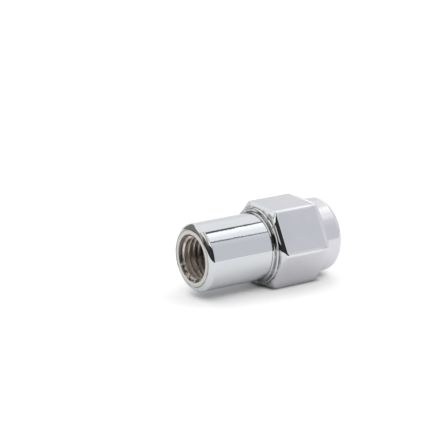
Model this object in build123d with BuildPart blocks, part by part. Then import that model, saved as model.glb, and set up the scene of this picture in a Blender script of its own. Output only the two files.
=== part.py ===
from build123d import *
from math import cos, radians, tan
import os

# Shank-seat lug nut with a closed, domed head, forged and turned from one piece of steel.
# It lies on one flat of its hexagon. +X runs along the nut's axis from the open mouth to the
# dome, +Z is up, and the origin is on the resting plane, under the middle of the nut's length.

# ---- driving dimensions (mm) ----
# along the axis
overall_length = 41.3          # 1 5/8 in, mouth face to the top of the dome
shank_length = 19.05           # 3/4 in, mouth face to seat face
seat_collar_height = 0.65      # washer face standing out from the hexagon's underside
underside_taper_length = 1.45  # the hexagon narrows over this length towards the collar
hexagon_height = 15.0          # seat collar to the foot of the head
bore_depth = 30.0              # mouth face to the end of the full bore
dome_sag = 1.55                # rise of the dome over the head's full diameter

# across the axis
shank_diameter = 17.4          # 0.685 in, a slip fit in an 11/16 in wheel hole
seat_width = 1.15              # the seat's ring round the shank
hexagon_across_flats = 20.64   # 13/16 in
underside_step = 0.43          # what the taper takes off each flat
head_step = 0.77               # the head's side stands this far inside the hexagon's flats
bore_diameter = 10.5           # tapping drill for M12 x 1.5
countersink_diameter = 12.3

# angles (degrees)
topside_cone_angle = 70        # between the hexagon's upper cone and the axis
countersink_angle = 90         # included
drill_point_angle = 118        # included

# edges
mouth_chamfer = 1.1            # as deep as it is long
mouth_chamfer_radius = 2.3     # its outward curve
shank_root_fillet = 0.5
seat_collar_chamfer = 0.25
hexagon_corner_fillet = 0.9
underside_corner_fillet = 7.2  # the hexagon's corners at the narrow end of the taper
head_shoulder_fillet = 1.9

# ---- places along the axis, counted from the mouth face ----
underside = shank_length + seat_collar_height
taper_end = underside + underside_taper_length
topside = underside + hexagon_height
dome_edge = overall_length - dome_sag

# ---- radii ----
shank_radius = shank_diameter / 2
collar_radius = shank_radius + seat_width
bore_radius = bore_diameter / 2
countersink_radius = countersink_diameter / 2
flat_radius = hexagon_across_flats / 2
corner_radius = flat_radius / cos(radians(30))
head_radius = flat_radius - head_step
dome_radius = (head_radius**2 + dome_sag**2) / (2 * dome_sag)

# ---- lengths of the sloping parts along the axis ----
countersink_depth = (countersink_radius - bore_radius) / tan(radians(countersink_angle / 2))
drill_point_depth = bore_radius / tan(radians(drill_point_angle / 2))
topside_cone_length = (corner_radius - head_radius) / tan(radians(topside_cone_angle))

# ---- planes: the axis lies half the hexagon's width above the resting plane ----
mouth_centre = Vector(-overall_length / 2, 0, flat_radius)
# profiles are drawn with x along the axis from the mouth and y as the radius
profile_plane = Plane(origin=mouth_centre, x_dir=(1, 0, 0), z_dir=(0, -1, 0))
mouth_plane = Plane(origin=mouth_centre, x_dir=(0, 1, 0), z_dir=(1, 0, 0))
nut_axis = Axis(mouth_centre, (1, 0, 0))

# The wrenching hexagon: its underside narrows to a nearly round foot, and a cone turns its
# upper corners down to the head.
with BuildPart() as hexagon:
    with BuildSketch(mouth_plane.offset(underside)) as narrow_section:
        RegularPolygon(flat_radius - underside_step, 6, major_radius=False)
        fillet(narrow_section.vertices(), underside_corner_fillet)
    with BuildSketch(mouth_plane.offset(taper_end)) as full_section:
        RegularPolygon(flat_radius, 6, major_radius=False)
        fillet(full_section.vertices(), hexagon_corner_fillet)
    loft(ruled=True)
    extrude(full_section.sketch, amount=topside - taper_end)
    with BuildSketch(profile_plane):
        with BuildLine():
            Polyline(
                (underside, 0),
                (underside, corner_radius),
                (topside - topside_cone_length, corner_radius),
                (topside, head_radius),
                (topside, 0),
                close=True,
            )
        make_face()
    revolve(axis=nut_axis, mode=Mode.INTERSECT)

# The turned shape: shank, seat collar, core and domed head in one profile.
with BuildPart() as lug_nut:
    with BuildSketch(profile_plane) as turned_profile:
        with BuildLine():
            mouth_edge = RadiusArc(
                (0, shank_radius - mouth_chamfer), (mouth_chamfer, shank_radius), mouth_chamfer_radius
            )
            side = Polyline(
                mouth_edge @ 1,
                (shank_length, shank_radius),
                (shank_length, collar_radius),
                (underside, collar_radius),
                (underside, head_radius),
                (dome_edge, head_radius),
            )
            dome = RadiusArc(side @ 1, (overall_length, 0), dome_radius)
            Polyline(dome @ 1, (0, 0), mouth_edge @ 0)
        make_face()
        for corner, radius in (
            ((shank_length, shank_radius), shank_root_fillet),
            ((dome_edge, head_radius), head_shoulder_fillet),
        ):
            fillet(turned_profile.vertices().sort_by_distance(corner)[0], radius)
        collar_edge = turned_profile.vertices().sort_by_distance((shank_length, collar_radius))[0]
        chamfer(collar_edge, seat_collar_chamfer)
    revolve(axis=nut_axis)
    add(hexagon.part)

    # the stud's hole: countersink, bore at the thread's minor diameter, drill point
    with BuildSketch(profile_plane):
        with BuildLine():
            Polyline(
                (0, 0),
                (0, countersink_radius),
                (countersink_depth, bore_radius),
                (bore_depth, bore_radius),
                (bore_depth + drill_point_depth, 0),
                close=True,
            )
        make_face()
    revolve(axis=nut_axis, mode=Mode.SUBTRACT)

lug_nut.part.label = "lug_nut"
os.makedirs("parts", exist_ok=True)
export_step(lug_nut.part, "parts/lug_nut.step")
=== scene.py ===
from math import asin, atan2, cos, hypot, pi, radians, sin, sqrt, tan

import bmesh
import bpy
from mathutils import Matrix, Vector


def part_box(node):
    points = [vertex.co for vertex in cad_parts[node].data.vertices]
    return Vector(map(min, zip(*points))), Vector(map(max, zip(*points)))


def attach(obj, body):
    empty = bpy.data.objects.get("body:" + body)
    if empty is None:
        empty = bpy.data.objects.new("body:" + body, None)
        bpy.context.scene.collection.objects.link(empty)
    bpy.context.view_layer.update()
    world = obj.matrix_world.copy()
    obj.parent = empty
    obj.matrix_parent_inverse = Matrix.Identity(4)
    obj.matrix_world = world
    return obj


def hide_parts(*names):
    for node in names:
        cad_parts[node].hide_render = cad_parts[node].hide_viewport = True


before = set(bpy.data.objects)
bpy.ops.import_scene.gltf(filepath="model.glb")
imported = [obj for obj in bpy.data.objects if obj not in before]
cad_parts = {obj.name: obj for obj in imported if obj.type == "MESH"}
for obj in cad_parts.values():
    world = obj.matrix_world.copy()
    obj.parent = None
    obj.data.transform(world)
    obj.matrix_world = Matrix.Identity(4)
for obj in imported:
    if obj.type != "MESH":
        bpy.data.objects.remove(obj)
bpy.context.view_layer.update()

# Shank-seat lug nut, chrome plated, lying on one flat of its hexagon. +X runs along its axis
# from the open mouth to the dome, +Z is up. Lengths are in millimetres, scaled by MM where used.
MM = 0.001

low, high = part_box("lug_nut")
MOUTH = low.x / MM
AXIS_HEIGHT = (low.z + high.z) / 2 / MM
OVERALL_LENGTH = (high.x - low.x) / MM
ACROSS_FLATS = (high.z - low.z) / MM

AXIS_POINT = Vector((0, 0, AXIS_HEIGHT)) * MM
ALONG = Vector((1, 0, 0))

# ---- along the axis, from the mouth face ----
SHANK_LENGTH = 19.05
COLLAR_HEIGHT = 0.65
TAPER_LENGTH = 1.45
HEXAGON_HEIGHT = 15.0
BORE_DEPTH = 30.0
DOME_SAG = 1.55
UNDERSIDE = SHANK_LENGTH + COLLAR_HEIGHT
TAPER_END = UNDERSIDE + TAPER_LENGTH
TOPSIDE = UNDERSIDE + HEXAGON_HEIGHT
DOME_EDGE = OVERALL_LENGTH - DOME_SAG

# ---- radii ----
SHANK_RADIUS = 8.7
COLLAR_RADIUS = SHANK_RADIUS + 1.15
BORE_RADIUS = 5.25
COUNTERSINK_RADIUS = 6.15
FLAT_RADIUS = ACROSS_FLATS / 2
NARROW_FLAT_RADIUS = FLAT_RADIUS - 0.43
HEAD_RADIUS = FLAT_RADIUS - 0.77
DOME_RADIUS = (HEAD_RADIUS**2 + DOME_SAG**2) / (2 * DOME_SAG)

SIDES = 6
SIXTH = 2 * pi / SIDES
TOPSIDE_CONE = radians(70)
DRILL_POINT = radians(118 / 2)

# ---- edges ----
MOUTH_CHAMFER = 1.1
MOUTH_CHAMFER_DEPTH = 1.5
MOUTH_CHAMFER_RADIUS = 2.3
MOUTH_RIM_ROUND = 0.15
CHAMFER_TOP_ROUND = 0.5
CORNER_ROUND = 0.9
NARROW_CORNER_ROUND = 7.2
TAPER_ROUND = 0.3
TOPSIDE_ROUND = 0.8
ROOT_ROUND = 0.5
COLLAR_ROUND = 0.25
SHOULDER_ROUND = 1.9

# how far in from the shoulder the dome's first ring lies, as a multiple of the rounding's reach
SHOULDER_MARGIN = 1.15

# ---- thread: M12 x 1.5, right-hand ----
THREAD_PITCH = 1.5
THREAD_FLANK = radians(30)
THREAD_MAJOR_RADIUS = 6.0
THREAD_CORE_RADIUS = 5.0
THREAD_ROOT_FLAT = 0.19
THREAD_START = -5.0
THREAD_LENGTH = 26.0

# how far the tools that cut the bore reach out of the mouth
TOOL_OVERRUN = 1.0

# ---- how fine the mesh is ----
FLAT_CUTS = 17
CORNER_SEGMENTS = 16
MOUTH_RIM_SEGMENTS = 3
CHAMFER_TOP_SEGMENTS = 5
ROOT_SEGMENTS = 10
COLLAR_SEGMENTS = 8
TAPER_SEGMENTS = 6
SHOULDER_SEGMENTS = 18
CHAMFER_STEPS = 8
TOPSIDE_STEPS = 12
DOME_STEPS = 16
BORE_STEPS = 180
THREAD_STEPS = 120
SHARP_ANGLE = radians(24)

# corners nearer to each other than this are one
MERGE_DISTANCE = 0.001

# a face of the bore has its middle farther in than this from the mouth and the countersink's rim
BARE_MARGIN = 0.001


# ---------------------------------------------------------------- mesh helpers

def radius_of(corner):
    """Distance of a place from the nut's axis, in millimetres."""
    return hypot(corner.y, corner.z - AXIS_POINT.z) / MM


def put(corner, along, radius):
    """Moves a corner straight out or in, to a place along the axis and a radius."""
    scale = radius / radius_of(corner)
    corner.x = (MOUTH + along) * MM
    corner.y *= scale
    corner.z = AXIS_POINT.z + (corner.z - AXIS_POINT.z) * scale


def carry(bm, ring, place):
    """Extrudes a closed loop of edges, moves each new corner with place, returns the new loop."""
    made = bmesh.ops.extrude_edge_only(bm, edges=ring)["geom"]
    corners = {g for g in made if isinstance(g, bmesh.types.BMVert)}
    for vert in corners:
        place(vert.co)
    return [g for g in made if isinstance(g, bmesh.types.BMEdge) and set(g.verts) <= corners]


def turned(along, radius):
    """A placer for a ring of the turned shape."""
    return lambda corner: put(corner, along, radius)


def round_ring(bm, ring, radius, turn, segments):
    """Rounds a ring of edges to a radius, where the profile turns through that angle."""
    bmesh.ops.bevel(
        bm, geom=ring, affect="EDGES", offset_type="OFFSET", offset=radius * tan(turn / 2) * MM,
        segments=segments, profile=0.5, material=-1, clamp_overlap=False,
    )


def axis_corner(bm, along, radius):
    """A new corner straight above the axis."""
    return bm.verts.new(((MOUTH + along) * MM, 0, AXIS_POINT.z + radius * MM))


def piece(bm, name):
    """Makes an object of a finished bmesh."""
    bmesh.ops.recalc_face_normals(bm, faces=bm.faces)
    mesh = bpy.data.meshes.new(name)
    bm.to_mesh(mesh)
    bm.free()
    obj = bpy.data.objects.new(name, mesh)
    bpy.context.scene.collection.objects.link(obj)
    return obj


# ---------------------------------------------------------------- the nut's outside

def hexagon_ring(bm, along, flat_radius, corner_round):
    """A loop of edges round the hexagon's section at a place along the axis, flats up and down."""
    side = bmesh.new()
    bmesh.ops.create_circle(
        side, cap_ends=True, segments=SIDES, radius=flat_radius / cos(SIXTH / 2) * MM,
        matrix=Matrix.Rotation(pi / 2, 4, "Y"),
    )
    bmesh.ops.bevel(
        side, geom=side.verts[:], affect="VERTICES", offset=corner_round * tan(SIXTH / 2) * MM,
        segments=CORNER_SEGMENTS, profile=0.5, material=-1,
    )
    flat_length = 2 * (flat_radius - corner_round) * tan(SIXTH / 2) * MM
    flats = sorted(side.edges, key=lambda edge: abs(edge.calc_length() - flat_length))[:SIDES]
    bmesh.ops.subdivide_edges(side, edges=flats, cuts=FLAT_CUTS)
    bmesh.ops.translate(side, vec=AXIS_POINT + ALONG * (MOUTH + along) * MM, verts=side.verts)
    bmesh.ops.delete(side, geom=side.faces[:], context="FACES_ONLY")
    mesh = bpy.data.meshes.new("ring")
    side.to_mesh(mesh)
    side.free()
    known = set(bm.edges)
    bm.from_mesh(mesh)
    bpy.data.meshes.remove(mesh)
    return [edge for edge in bm.edges if edge not in known]


def mouth_chamfer():
    """The mouth's bulging chamfer, from the shank to the mouth face.

    Returns its (along, radius) points, and the angles it meets the shank and the mouth face at.
    """
    half_chord = hypot(MOUTH_CHAMFER, MOUTH_CHAMFER_DEPTH) / 2
    half_turn = asin(half_chord / MOUTH_CHAMFER_RADIUS)
    middle_lean = atan2(MOUTH_CHAMFER_DEPTH, MOUTH_CHAMFER)
    inward = MOUTH_CHAMFER_RADIUS * cos(half_turn)
    centre_along = MOUTH_CHAMFER / 2 + inward * sin(middle_lean)
    centre_radius = SHANK_RADIUS - MOUTH_CHAMFER_DEPTH / 2 - inward * cos(middle_lean)
    points = []
    for step in range(CHAMFER_STEPS + 1):
        lean = middle_lean + half_turn * (2 * step / CHAMFER_STEPS - 1)
        points.append((
            centre_along - MOUTH_CHAMFER_RADIUS * sin(lean),
            centre_radius + MOUTH_CHAMFER_RADIUS * cos(lean),
        ))
    return points, middle_lean - half_turn, pi / 2 - middle_lean - half_turn


def carry_to_mouth(bm, foot):
    """The turned parts from the hexagon's foot down to the mouth face."""
    collar_base = carry(bm, foot, turned(UNDERSIDE, COLLAR_RADIUS))
    collar_rim = carry(bm, collar_base, turned(SHANK_LENGTH, COLLAR_RADIUS))
    root = carry(bm, collar_rim, turned(SHANK_LENGTH, SHANK_RADIUS))
    points, top_turn, rim_turn = mouth_chamfer()
    rings = [root]
    for along, radius in points:
        rings.append(carry(bm, rings[-1], turned(along, radius)))
    bmesh.ops.holes_fill(bm, edges=rings[-1], sides=0)
    round_ring(bm, root, ROOT_ROUND, pi / 2, ROOT_SEGMENTS)
    round_ring(bm, collar_rim, COLLAR_ROUND, pi / 2, COLLAR_SEGMENTS)
    round_ring(bm, rings[1], CHAMFER_TOP_ROUND, top_turn, CHAMFER_TOP_SEGMENTS)
    round_ring(bm, rings[-1], MOUTH_RIM_ROUND, rim_turn, MOUTH_RIM_SEGMENTS)


def section_radius(corner):
    """Radius of the hexagon's full section on the ray through a corner of the mesh."""
    turn = atan2(corner.y, corner.z - AXIS_POINT.z)
    off_middle = abs((turn + SIXTH / 2) % SIXTH - SIXTH / 2)
    round_centre = (FLAT_RADIUS - CORNER_ROUND) / cos(SIXTH / 2)
    if FLAT_RADIUS * tan(off_middle) < round_centre * sin(SIXTH / 2):
        return FLAT_RADIUS / cos(off_middle)
    off_corner = SIXTH / 2 - off_middle
    reach = sqrt(CORNER_ROUND**2 - (round_centre * sin(off_corner)) ** 2)
    return round_centre * cos(off_corner) + reach


def topside_placer(share):
    """A placer for a ring of the rounding between the hexagon's sides and its upper cone."""
    reach = TOPSIDE_ROUND * tan(TOPSIDE_CONE / 2)
    before = (1 - share) ** 2 * reach
    after = share**2 * reach

    def place(corner):
        side = section_radius(corner)
        run_out = TOPSIDE - (side - HEAD_RADIUS) / tan(TOPSIDE_CONE)
        along = run_out - before + after * cos(TOPSIDE_CONE)
        put(corner, along, side - after * sin(TOPSIDE_CONE))
    return place


def carry_to_dome(bm, start):
    """The upper part from the hexagon's section to the middle of the dome."""
    ring = start
    for step in range(TOPSIDE_STEPS + 1):
        ring = carry(bm, ring, topside_placer(step / TOPSIDE_STEPS))
    head_base = carry(bm, ring, turned(TOPSIDE, HEAD_RADIUS))
    shoulder = carry(bm, head_base, turned(DOME_EDGE, HEAD_RADIUS))
    shoulder_turn = pi / 2 - asin(HEAD_RADIUS / DOME_RADIUS)
    dome = shoulder
    dome_start = HEAD_RADIUS - SHOULDER_MARGIN * SHOULDER_ROUND * tan(shoulder_turn / 2)
    for step in range(DOME_STEPS):
        radius = dome_start * (1 - step / DOME_STEPS)
        sag = DOME_RADIUS - sqrt(DOME_RADIUS**2 - radius**2)
        dome = carry(bm, dome, turned(OVERALL_LENGTH - sag, radius))
    bmesh.ops.holes_fill(bm, edges=dome, sides=0)
    round_ring(bm, shoulder, SHOULDER_ROUND, shoulder_turn, SHOULDER_SEGMENTS)


def blank():
    """The whole nut without its bore, as one closed shell."""
    bm = bmesh.new()
    start = hexagon_ring(bm, TAPER_END, FLAT_RADIUS, CORNER_ROUND)
    foot = hexagon_ring(bm, UNDERSIDE, NARROW_FLAT_RADIUS, NARROW_CORNER_ROUND)
    bmesh.ops.bridge_loops(bm, edges=start + foot)
    carry_to_mouth(bm, foot)
    carry_to_dome(bm, start)
    round_ring(bm, start, TAPER_ROUND, pi / 2, TAPER_SEGMENTS)
    return piece(bm, "lug_nut_body")


# ---------------------------------------------------------------- the bore

def spin(bm, verts, steps, **options):
    """Turns a row of corners once round the nut's axis, and welds what meets."""
    edges = [bm.edges.new(pair) for pair in zip(verts, verts[1:])]
    bmesh.ops.spin(
        bm, geom=verts + edges, cent=AXIS_POINT, axis=ALONG, angle=2 * pi, steps=steps, **options
    )
    bmesh.ops.remove_doubles(bm, verts=bm.verts, dist=MERGE_DISTANCE * MM)


def bore_tool():
    """What the countersink and the drill take away."""
    profile = (
        (-TOOL_OVERRUN, 0),
        (-TOOL_OVERRUN, COUNTERSINK_RADIUS + TOOL_OVERRUN),
        (COUNTERSINK_RADIUS - BORE_RADIUS, BORE_RADIUS),
        (BORE_DEPTH, BORE_RADIUS),
        (BORE_DEPTH + BORE_RADIUS / tan(DRILL_POINT), 0),
    )
    bm = bmesh.new()
    spin(bm, [axis_corner(bm, *point) for point in profile], BORE_STEPS, use_merge=True)
    return piece(bm, "bore_tool")


def tap():
    """A right-hand screw whose ridge cuts the thread's groove."""
    half_flat = THREAD_ROOT_FLAT / 2
    half_foot = half_flat + (THREAD_MAJOR_RADIUS - THREAD_CORE_RADIUS) * tan(THREAD_FLANK)
    ridge = (
        (-half_foot, THREAD_CORE_RADIUS),
        (-half_flat, THREAD_MAJOR_RADIUS),
        (half_flat, THREAD_MAJOR_RADIUS),
        (half_foot, THREAD_CORE_RADIUS),
    )
    turns = int((THREAD_LENGTH - THREAD_START) / THREAD_PITCH) + 2
    bm = bmesh.new()
    verts = [
        axis_corner(bm, THREAD_START + turn * THREAD_PITCH + offset, radius)
        for turn in range(turns) for offset, radius in ridge
    ]
    spin(bm, verts, THREAD_STEPS, dvec=ALONG * THREAD_PITCH * MM / THREAD_STEPS)
    for place, normal in ((-TOOL_OVERRUN, -ALONG), (THREAD_LENGTH, ALONG)):
        cut = bmesh.ops.bisect_plane(
            bm, geom=bm.verts[:] + bm.edges[:] + bm.faces[:],
            plane_co=AXIS_POINT + ALONG * (MOUTH + place) * MM, plane_no=normal, clear_outer=True,
        )
        rim = [g for g in cut["geom_cut"] if isinstance(g, bmesh.types.BMEdge)]
        bmesh.ops.holes_fill(bm, edges=rim, sides=0)
    return piece(bm, "tap")


def cut_away(body, tool):
    """Takes a tool's solid out of the body."""
    cut = body.modifiers.new(tool.name, "BOOLEAN")
    cut.operation = "DIFFERENCE"
    cut.solver = "MANIFOLD"
    cut.object = tool


def settle(body, tools):
    """Makes the body's mesh what its modifiers show, and removes the tools."""
    shown = body.evaluated_get(bpy.context.evaluated_depsgraph_get())
    mesh = bpy.data.meshes.new_from_object(shown)
    mesh.name = body.name
    body.modifiers.clear()
    body.data = mesh
    for tool in tools:
        bpy.data.objects.remove(tool)


def is_bare(face):
    """Whether a face belongs to the bore, which the plating doesn't reach."""
    along = face.center.x / MM - MOUTH
    inside = BARE_MARGIN < along < OVERALL_LENGTH - 2 * DOME_SAG
    return inside and radius_of(face.center) < COUNTERSINK_RADIUS - BARE_MARGIN


def build_nut():
    """The nut, bored and threaded, with its two finishes."""
    body = blank()
    tools = [bore_tool(), tap()]
    for tool in tools:
        cut_away(body, tool)
    settle(body, tools)
    mesh = body.data
    mesh.materials.clear()
    mesh.materials.append(chrome())
    mesh.materials.append(bare_steel())
    for face in mesh.polygons:
        face.material_index = 1 if is_bare(face) else 0
    mesh.shade_smooth()
    mesh.set_sharp_from_angle(angle=SHARP_ANGLE)
    body.modifiers.new("even_shading", "WEIGHTED_NORMAL").keep_sharp = True
    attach(body, "root")
    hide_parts("lug_nut")


# ---------------------------------------------------------------- node sums

# a Mix node's sockets for colours, by number because its socket names repeat
MIX_FACTOR = 0
MIX_FIRST = 6
MIX_SECOND = 7
MIX_RESULT = 2


class Knot:
    """A socket of a node tree. Sums on it add Math nodes to the tree."""

    def __init__(self, tree, socket=None):
        self.tree = tree
        self.socket = socket

    def node(self, kind, settings, values, out=0):
        """Adds a node, makes its settings, sets or links its sockets, and returns an output."""
        made = self.tree.nodes.new(kind)
        for name, value in settings.items():
            setattr(made, name, value)
        for name, value in values.items():
            if isinstance(value, Knot):
                self.tree.links.new(value.socket, made.inputs[name])
            else:
                made.inputs[name].default_value = value
        return Knot(self.tree, made.outputs[out])

    def sum(self, operation, first, second):
        """One Math node."""
        return self.node("ShaderNodeMath", {"operation": operation}, {0: first, 1: second})

    def __add__(self, other):
        return self.sum("ADD", self, other)

    def __radd__(self, other):
        return self.sum("ADD", other, self)

    def __sub__(self, other):
        return self.sum("SUBTRACT", self, other)

    def __rsub__(self, other):
        return self.sum("SUBTRACT", other, self)

    def __mul__(self, other):
        return self.sum("MULTIPLY", self, other)

    def __rmul__(self, other):
        return self.sum("MULTIPLY", other, self)

    def __truediv__(self, other):
        return self.sum("DIVIDE", self, other)

    def __rtruediv__(self, other):
        return self.sum("DIVIDE", other, self)


def rise(value, start, end):
    """0 where value is below start, 1 above end, smooth between."""
    return value.node(
        "ShaderNodeMapRange", {"interpolation_type": "SMOOTHSTEP"},
        {"Value": value, "From Min": start, "From Max": end, "To Min": 0.0, "To Max": 1.0},
    )


def fall(value, start, end):
    """1 where value is below start, 0 above end, smooth between."""
    return 1 - rise(value, start, end)


def band(value, start, full, ebb, end):
    """1 where value is between full and ebb, 0 outside start and end."""
    return rise(value, start, full) * fall(value, ebb, end)


def vector(operation, *values, out="Vector"):
    """One Vector Math node."""
    values = dict(enumerate(values))
    return values[0].node("ShaderNodeVectorMath", {"operation": operation}, values, out)


def split(place):
    """The three coordinates of a place."""
    first = place.node("ShaderNodeSeparateXYZ", {}, {0: place})
    return [Knot(place.tree, socket) for socket in first.socket.node.outputs]


def mix(factor, first, second):
    """The colour first where factor is 0, second where it is 1."""
    values = {MIX_FACTOR: factor, MIX_FIRST: first, MIX_SECOND: second}
    return factor.node("ShaderNodeMix", {"data_type": "RGBA"}, values, out=MIX_RESULT)


def noise(place, scale, detail, roughness):
    """A cloudy value about a half, with so many grains to the metre."""
    values = {"Vector": place, "Scale": scale, "Detail": detail, "Roughness": roughness}
    return place.node("ShaderNodeTexNoise", {}, values)


def from_axis(place):
    """Distance of a place from the nut's axis, in millimetres."""
    across = vector("MULTIPLY", vector("SUBTRACT", place, AXIS_POINT), (0, 1, 1))
    return vector("LENGTH", across, out="Value") / MM


def from_mouth(x):
    """Distance of a place from the mouth, along the nut, in millimetres."""
    return x / MM - MOUTH


def from_box(place, middle, half):
    """Distance of a place from a box with these half sides, in millimetres, 0 inside it."""
    offset = vector("ABSOLUTE", vector("SUBTRACT", place, middle))
    outside = vector("MAXIMUM", vector("SUBTRACT", offset, half), (0, 0, 0))
    return vector("LENGTH", outside, out="Value") / MM


def light_path(knot, ray):
    """1 for rays of that kind, 0 for the others."""
    return knot.node("ShaderNodeLightPath", {}, {}, out=ray)


def finish(name):
    """A new material: its principled shader, and the object's coordinates in its tree."""
    material = bpy.data.materials.new(name)
    material.use_nodes = True
    tree = material.node_tree
    place = Knot(tree).node("ShaderNodeTexCoord", {}, {}, out="Object")
    return material, tree.nodes["Principled BSDF"], place


def feed(shader, name, value):
    """Links a value to a socket of a shader."""
    value.tree.links.new(value.socket, shader.inputs[name])


def feed_bump(shader, height):
    """Bumps a shader's normal by a height in metres."""
    values = {"Strength": 1.0, "Distance": 1.0, "Height": height}
    feed(shader, "Normal", height.node("ShaderNodeBump", {}, values))


# ---------------------------------------------------------------- finishes

CHROME_COOL = (0.655, 0.672, 0.70, 1)
CHROME_VIOLET = (0.69, 0.685, 0.717, 1)
# painted highlight: lighter colour along the hexagon's rounded edges
CHROME_PAINTED_HIGHLIGHT = (0.77, 0.775, 0.79, 1)
CHROME_HAZE = (0.60, 0.61, 0.62, 1)
# painted reflection: the mouth face is darker and warmer, as if it mirrored something dark beside
# it
CHROME_PAINTED_REFLECTION = (0.58, 0.565, 0.54, 1)
# painted shade: the dark colour of the crease lines and of the line round the mouth's rim
CHROME_PAINTED_SHADE = (0.23, 0.215, 0.195, 1)
STEEL = (0.88, 0.80, 0.745, 1)
STEEL_STAINED = (0.41, 0.36, 0.33, 1)
STEEL_DARK = (0.17, 0.15, 0.135, 1)
# a brighter colour for specks in the bore's lower half
STEEL_LOWER_BRIGHT = (0.95, 0.88, 0.83, 1)

# textures: grains to the metre, detail and roughness
PATCHES = (95.0, 2.0, 0.5)
CLOUDS = (420.0, 4.0, 0.6)
WAVES = (260.0, 2.0, 0.5)
SPECKS = (900.0, 4.0, 0.65)
STAINS = (260.0, 3.0, 0.5)
RINGS_PER_MM = 2.2
RINGS_DETAIL = 2.0

# what is added to the violet's texture for each metre along the nut
VIOLET_DRIFT = 16.0

# between which values of its texture each tint or finish comes in, and how far
VIOLET_RISE = (0.45, 0.68)
HAZE_RISE = (0.62, 0.9)
HAZE_SHARE = 0.6
# the next two: where the cloudy break-up of the painted crease and rim shade comes in, and how
# strong the crease shade is
SHADE_BREAKUP_RISE = (0.25, 0.6)
CREASE_SHADE_SHARE = 0.75
DULLING_RISE = (0.35, 0.8)
STAIN_RISE = (0.35, 0.7)
SPOT_RISE = (0.55, 0.75)
SPOT_SHARE = 0.5
LOWER_BRIGHT_RISE = (0.45, 0.6)
LOWER_BRIGHT_SHARE = 0.8
GRIT_RISE = (0.3, 0.8)

# roughness of each metal, and what is added to it
CHROME_ROUGHNESS = 0.03
DULLING_ROUGHNESS = 0.035
HEAD_ROUGHNESS = 0.1
MOUTH_FACE_ROUGHNESS = 0.1
STEEL_ROUGHNESS = 0.38
GRIT_ROUGHNESS = 0.2

# where the plating and its painted shade and highlight change, from the mouth along the nut: two
# values for a ramp, four for a band
MOUTH_FACE = (0.02, 0.12)
MOUTH_END = (1.0, 1.2)
# painted shade: dark lines in the crease at the shank's root and at the hexagon's foot
ROOT_SHADE_LINE = (SHANK_LENGTH - 0.3, SHANK_LENGTH - 0.05, SHANK_LENGTH + 0.02, SHANK_LENGTH + 0.12)
FOOT_SHADE_LINE = (UNDERSIDE - 0.2, UNDERSIDE - 0.05, UNDERSIDE + 0.1, UNDERSIDE + 0.45)
FOOT_HOLLOW = (UNDERSIDE + 0.05, UNDERSIDE + 0.6)
# painted highlight: where the lighter hexagon edges fade out before the top
EDGE_HIGHLIGHT_FADE = (TOPSIDE - 4, TOPSIDE - 2)
FLATS_FALL = (TOPSIDE - 1.7, TOPSIDE - 0.4)
HEAD_START = (TOPSIDE - 1.5, TOPSIDE + 0.3)

# the same, from the axis
RIM = SHANK_RADIUS - MOUTH_CHAMFER_DEPTH
# painted shade: a dark line round the mouth's rim, where the mouth face meets the chamfer
RIM_SHADE_LINE = (RIM - 0.2, RIM + 0.02, RIM + 0.12, RIM + 0.34)
# painted highlight: the radii at which the hexagon's edges are painted lighter
CORNER_HIGHLIGHT = (11.5, 11.64)

# heights of the plating's bumps
WAVE_HEIGHT = 0.02
RING_HEIGHT = 0.004
FLATS_FALL_DEPTH = 0.12
FOOT_HOLLOW_DEPTH = 0.07

# the bore: where its countersink ends, how high its brighter, more bumped lower part reaches, and
# bumps
COUNTERSINK_END = (0.7, 1.1)
LOWER_HALF_TOP = (AXIS_HEIGHT - 3.2, AXIS_HEIGHT - 1.2)
SPECK_HEIGHT = 0.03
LOWER_BUMP_HEIGHT = 0.5


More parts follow.
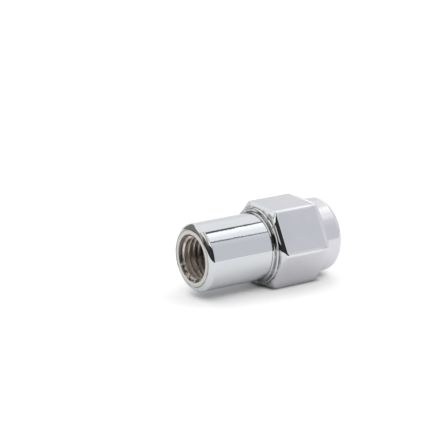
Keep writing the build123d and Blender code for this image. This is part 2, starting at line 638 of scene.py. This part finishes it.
def chrome():
    """Bright plating over a forged and turned body: faint waves, tool rings, a duller head.
    Painted into its colour are dark shade lines in the crease at the shank's root and at the
    hexagon's foot and round the mouth's rim, a darker, warmer reflection on the mouth face, and
    lighter highlights along the hexagon's edges.
    """
    material, shader, place = finish("polished_chrome")
    x, _, _ = split(place)
    along = from_mouth(x)
    radius = from_axis(place)
    patches = noise(place, *PATCHES)
    clouds = noise(place, *CLOUDS)
    head = rise(along, *HEAD_START)
    mouth_face = fall(along, *MOUTH_FACE)
    # painted shade: dark lines in the crease at the shank's root and at the hexagon's foot
    crease_shade = band(along, *ROOT_SHADE_LINE) + band(along, *FOOT_SHADE_LINE)
    # painted highlight: lighter along the hexagon's rounded edges, fading out before its top
    edges = rise(radius, *CORNER_HIGHLIGHT) * fall(along, *EDGE_HIGHLIGHT_FADE)
    # painted shade: a dark line round the mouth's rim
    rim_shade = band(radius, *RIM_SHADE_LINE) * fall(along, *MOUTH_END)
    # a cloudy mask that breaks up the painted shade lines
    shade_breakup = rise(clouds, *SHADE_BREAKUP_RISE)

    violet = rise(patches + x * VIOLET_DRIFT, *VIOLET_RISE)
    tint = mix(violet, CHROME_COOL, CHROME_VIOLET)
    tint = mix(rise(clouds, *HAZE_RISE) * HAZE_SHARE, tint, CHROME_HAZE)
    # painted reflection on the mouth face
    tint = mix(mouth_face, tint, CHROME_PAINTED_REFLECTION)
    # painted shade in the crease lines
    tint = mix(crease_shade * shade_breakup * CREASE_SHADE_SHARE, tint, CHROME_PAINTED_SHADE)
    # painted highlight along the hexagon's edges
    tint = mix(edges, tint, CHROME_PAINTED_HIGHLIGHT)
    # painted shade round the mouth's rim
    tint = mix(rim_shade * shade_breakup, tint, CHROME_PAINTED_SHADE)
    feed(shader, "Base Color", tint)
    shader.inputs["Metallic"].default_value = 1

    roughness = CHROME_ROUGHNESS + rise(clouds, *DULLING_RISE) * DULLING_ROUGHNESS
    roughness = roughness + head * HEAD_ROUGHNESS + mouth_face * MOUTH_FACE_ROUGHNESS
    feed(shader, "Roughness", roughness)

    waves = noise(place, *WAVES) * (WAVE_HEIGHT * MM)
    rings = x.node(
        "ShaderNodeTexNoise", {"noise_dimensions": "1D"},
        {"W": x / MM, "Scale": RINGS_PER_MM, "Detail": RINGS_DETAIL},
    ) * (RING_HEIGHT * MM)
    flats_fall = rise(along, *FLATS_FALL) * (1 - head) * (FLATS_FALL_DEPTH * MM)
    foot_hollow = rise(along, *FOOT_HOLLOW) * (FOOT_HOLLOW_DEPTH * MM)
    feed_bump(shader, waves + rings - flats_fall - foot_hollow)
    return material


def bare_steel():
    """The bore's unplated steel: brownish, darker at the countersink, brighter and more bumped in
    its lower half.
    """
    material, shader, place = finish("bare_steel")
    x, _, z = split(place)
    specks = noise(place, *SPECKS)
    stains = noise(place, *STAINS)
    countersink = fall(from_mouth(x), *COUNTERSINK_END)
    # the bore's lower half, where specks are brighter and bumps bigger
    lower_half = fall(z / MM, *LOWER_HALF_TOP)

    tint = mix(rise(stains, *STAIN_RISE), STEEL, STEEL_STAINED)
    tint = mix(rise(specks, *SPOT_RISE) * SPOT_SHARE, tint, STEEL_STAINED)
    tint = mix(countersink, tint, STEEL_DARK)
    # brighter specks in the bore's lower half
    tint = mix(lower_half * rise(specks, *LOWER_BRIGHT_RISE) * LOWER_BRIGHT_SHARE, tint, STEEL_LOWER_BRIGHT)
    feed(shader, "Base Color", tint)
    shader.inputs["Metallic"].default_value = 1
    feed(shader, "Roughness", STEEL_ROUGHNESS + rise(specks, *GRIT_RISE) * GRIT_ROUGHNESS)
    feed_bump(shader, specks * (SPECK_HEIGHT * MM + lower_half * (LOWER_BUMP_HEIGHT * MM)))
    return material


# ---------------------------------------------------------------- the studio

# What the chrome mirrors is laid out by the direction a reflection goes in. right, ahead and z
# are its parts, as seen by someone who looks STUDIO_TURN away from +Y, toward +X. across and
# along are where it meets a ceiling one unit up, flank is where it meets a wall one unit in front
# of the nut, and slant grows with z and shrinks with ahead. LEAST_HEIGHT keeps the divisions safe.
STUDIO_TURN = radians(33.75)
LEAST_HEIGHT = 0.02
SLANT = 0.36

# A ramp goes from 0 at its first value to 1 at its second, and a part of the studio is where its
# ramps are all 1.
BEHIND = (("along", -0.05, -0.02),)
FRONT = (("along", -0.02, -0.05),)
LEFT = FRONT + (("flank", 1.5, 1.35),)
LEFT_LOW = LEFT + (("right", -0.54, -0.6), ("z", 0.58, 0.52), ("ahead", -0.12, -0.24))

PANEL = (0.77, 0.77, 0.81, 1)
PANEL_TOP = (0.85, 0.855, 0.89, 1)
PANEL_RISE = ("ahead", -0.24, -0.1)
PAPER = (1.08, 1.08, 1.08, 1)
PAPER_LOW = (0.90, 0.905, 0.92, 1)
PAPER_RISE = ("z", 0.28, 0.6)
ROOM = (0.04, 0.038, 0.036, 1)
BACKGROUND = (1.0, 1.0, 1.0, 1)

# each patch's radiance and its ramps, laid over the patches before it
STUDIO = {
    "soft_box": ((1.6, 1.6, 1.61, 1), BEHIND + (("across", 0.44, 0.47),)),
    "soft_box_edge": ((1.15, 1.15, 1.16, 1), BEHIND + (("across", 0.44, 0.75),)),
    "wall": ((0.93, 0.93, 0.94, 1), BEHIND + (("across", 0.95, 1.35),)),
    "horizon": (
        (0.75, 0.75, 0.76, 1), BEHIND + (("across", 0.95, 1.35), ("z", 0.22, 0.12)),
    ),
    "long_gap": (
        (0.1, 0.1, 0.1, 1),
        BEHIND + (("across", 0.375, 0.41), ("across", 0.485, 0.455), ("along", 0.61, 0.55)),
    ),
    "low_gap": (
        (0.26, 0.26, 0.26, 1),
        (
            ("along", -0.09, -0.08), ("along", -0.02, -0.03),
            ("across", 0.3, 0.4), ("across", 0.98, 0.94),
        ),
    ),
    "strip": ((0.95, 0.95, 0.95, 1), FRONT + (("flank", 2.2, 1.9),)),
    "left_ceiling": ((0.5, 0.49, 0.47, 1), LEFT),
    "left_lamp": ((1.15, 1.14, 1.1, 1), LEFT + (("right", -0.56, -0.6), ("z", 0.58, 0.64))),
    "window_top": (
        (0.9, 0.89, 0.87, 1), LEFT + (("across", -0.6, -0.45), ("along", -0.05, -0.12)),
    ),
    "window": (
        (1.3, 1.29, 1.26, 1),
        LEFT + (("right", 0.36, 0.26), ("across", -0.55, -0.4), ("along", -0.7, -0.78)),
    ),
    "room_beside_window": (ROOM, LEFT + (("right", 0.26, 0.36),)),
    "room_below_window": (ROOM, LEFT + (("along", -1.22, -1.32),)),
    "left_low": ((0.16, 0.14, 0.12, 1), LEFT_LOW),
    "left_lowest": (ROOM, LEFT_LOW + (("z", 0.42, 0.22),)),
    "left_card": (
        (0.24, 0.23, 0.215, 1),
        BEHIND + (("across", -1.0, -1.15), ("slant", 0.43, 0.37), ("ahead", 0.84, 0.76)),
    ),
}

FLOOR_COLOUR = (0.76, 0.76, 0.76, 1)
BLACK = (0, 0, 0, 1)

# in metres: half the floor's side, and how far it reaches in front of the nut
FLOOR_HALF = 3
FLOOR_FRONT = 0.12

# What the floor glows with, in full to the camera and in part in the chrome: FAR_LIFT away from
# the line under the nut's axis, NEAR_LIFT beside that line under the shank, nothing beside it
# under the hexagon, and nothing on and about the foot, where the nut stands.
NEAR_LIFT = (0.12, 0.12, 0.12, 1)
FAR_LIFT = (0.3, 0.3, 0.3, 1)
MIRRORED_LIFT = 0.6
SHANK_END = (-3, -1)
LINE_MIDDLE = Vector((0, 0, 0)) * MM
LINE_HALF = Vector((16, 0, 0)) * MM
LINE_RISE = (1.5, 6)
FOOT_MIDDLE = Vector((6.9, 0, 0)) * MM
FOOT_HALF = Vector((6.6, 5.4, 0)) * MM
FOOT_RISE = (0.3, 2)

# painted shade: a darker patch of floor, in the chrome only, standing in for the shadow and
# reflection of another nut
DARK_PATCH = (0.1, 0.1, 0.1, 1)
DARK_PATCH_PLACE = Vector((-17, 34, 0)) * MM
DARK_PATCH_FADE = (10, 19)

# the lamp's power in watts, and its size and place in metres
KEY_POWER = 1.5
KEY_SIZE = 0.9
KEY_PLACE = Vector((0.0, -0.08, 0.5))


def build_world():
    """The studio as the chrome mirrors it, and plain white behind the nut."""
    world = bpy.data.worlds.new("studio")
    bpy.context.scene.world = world
    world.use_nodes = True
    tree = world.node_tree
    toward = Knot(tree).node("ShaderNodeTexCoord", {}, {}, out="Generated")
    x, y, z = split(toward)
    right = x * cos(STUDIO_TURN) - y * sin(STUDIO_TURN)
    ahead = x * sin(STUDIO_TURN) + y * cos(STUDIO_TURN)
    up = z.sum("MAXIMUM", z, LEAST_HEIGHT)
    front = z.sum("MAXIMUM", ahead * -1.0, LEAST_HEIGHT)
    layout = {
        "right": right, "ahead": ahead, "z": z, "across": right / up, "along": ahead / up,
        "flank": right / front, "slant": z - ahead * SLANT,
    }

    def ramp(axis, start, end):
        """0 at start and 1 at end of a range of the layout, smooth between."""
        value = layout[axis]
        return rise(value, start, end) if start < end else fall(value, end, start)

    paper = mix(ramp(*PAPER_RISE), PAPER_LOW, PAPER)
    colour = mix(ramp(*BEHIND[0]), mix(ramp(*PANEL_RISE), PANEL, PANEL_TOP), paper)
    for radiance, ramps in STUDIO.values():
        mask = ramp(*ramps[0])
        for more in ramps[1:]:
            mask = mask * ramp(*more)
        colour = mix(mask, colour, radiance)
    colour = mix(light_path(toward, "Is Camera Ray"), colour, BACKGROUND)
    background = tree.nodes["Background"]
    feed(background, "Color", colour)
    background.inputs["Strength"].default_value = 1


def build_floor():
    """A pale floor that keeps the nut's shadow soft, with a painted dark patch on it that only the
    chrome sees.
    """
    bm = bmesh.new()
    middle = (0, FLOOR_HALF - FLOOR_FRONT, 0)
    bmesh.ops.create_grid(
        bm, x_segments=1, y_segments=1, size=FLOOR_HALF, matrix=Matrix.Translation(middle)
    )
    floor = piece(bm, "floor")
    material, shader, place = finish("pale_floor")
    shader.inputs["Roughness"].default_value = 1
    shader.inputs["Specular IOR Level"].default_value = 0
    seen = light_path(place, "Is Camera Ray")
    mirrored = light_path(place, "Is Glossy Ray")
    x, _, _ = split(place)
    from_line = from_box(place, LINE_MIDDLE, LINE_HALF)
    from_foot = from_box(place, FOOT_MIDDLE, FOOT_HALF)
    from_patch = vector("DISTANCE", place, DARK_PATCH_PLACE, out="Value") / MM
    lift = mix(rise(x / MM, *SHANK_END), NEAR_LIFT, BLACK)
    lift = mix(rise(from_line, *LINE_RISE), lift, FAR_LIFT)
    lift = mix(rise(from_foot, *FOOT_RISE), BLACK, lift)
    # painted shade: the dark patch, seen only in reflections
    patch = mirrored * fall(from_patch, *DARK_PATCH_FADE)
    glow = seen + (mirrored - patch) * MIRRORED_LIFT
    feed(shader, "Base Color", mix(patch, FLOOR_COLOUR, DARK_PATCH))
    feed(shader, "Emission Color", mix(glow, BLACK, lift))
    shader.inputs["Emission Strength"].default_value = 1
    floor.data.materials.append(material)


def build_key_light():
    """One soft lamp above the nut, aimed at the origin and left out of the reflections."""
    data = bpy.data.lights.new("key", "AREA")
    data.shape = "DISK"
    data.size = KEY_SIZE
    data.energy = KEY_POWER
    lamp = bpy.data.objects.new("key", data)
    bpy.context.scene.collection.objects.link(lamp)
    lamp.location = KEY_PLACE
    lamp.rotation_euler = KEY_PLACE.to_track_quat("Z", "Y").to_euler()
    lamp.visible_glossy = False


# ---------------------------------------------------------------- the camera

CAMERA_PLACE = Vector((-294.91, -420.81, 172.31)) * MM
CAMERA_LOOK = Vector((0.53216, 0.79649, -0.28726))
CAMERA_ROLL = radians(0.191)
CAMERA_LENS = 177.4
SENSOR_WIDTH = 36
UP = Vector((0, 0, 1))

# in metres: the nearest and farthest that the camera sees
CLIP_START = 0.01
CLIP_END = 20


def build_camera():
    """The camera, turned to its look and then rolled a little."""
    data = bpy.data.cameras.new("camera")
    data.lens = CAMERA_LENS
    data.sensor_width = SENSOR_WIDTH
    data.clip_start = CLIP_START
    data.clip_end = CLIP_END
    camera = bpy.data.objects.new("camera", data)
    bpy.context.scene.collection.objects.link(camera)
    forward = CAMERA_LOOK.normalized()
    right = forward.cross(UP).normalized()
    up = right.cross(forward)
    turned_right = cos(CAMERA_ROLL) * right + sin(CAMERA_ROLL) * up
    turned_up = cos(CAMERA_ROLL) * up - sin(CAMERA_ROLL) * right
    turn = Matrix((turned_right, turned_up, -forward)).transposed().to_4x4()
    camera.matrix_world = Matrix.Translation(CAMERA_PLACE) @ turn
    bpy.context.scene.camera = camera


bpy.context.scene.view_settings.view_transform = "Standard"
build_nut()
build_floor()
build_key_light()
build_world()
build_camera()
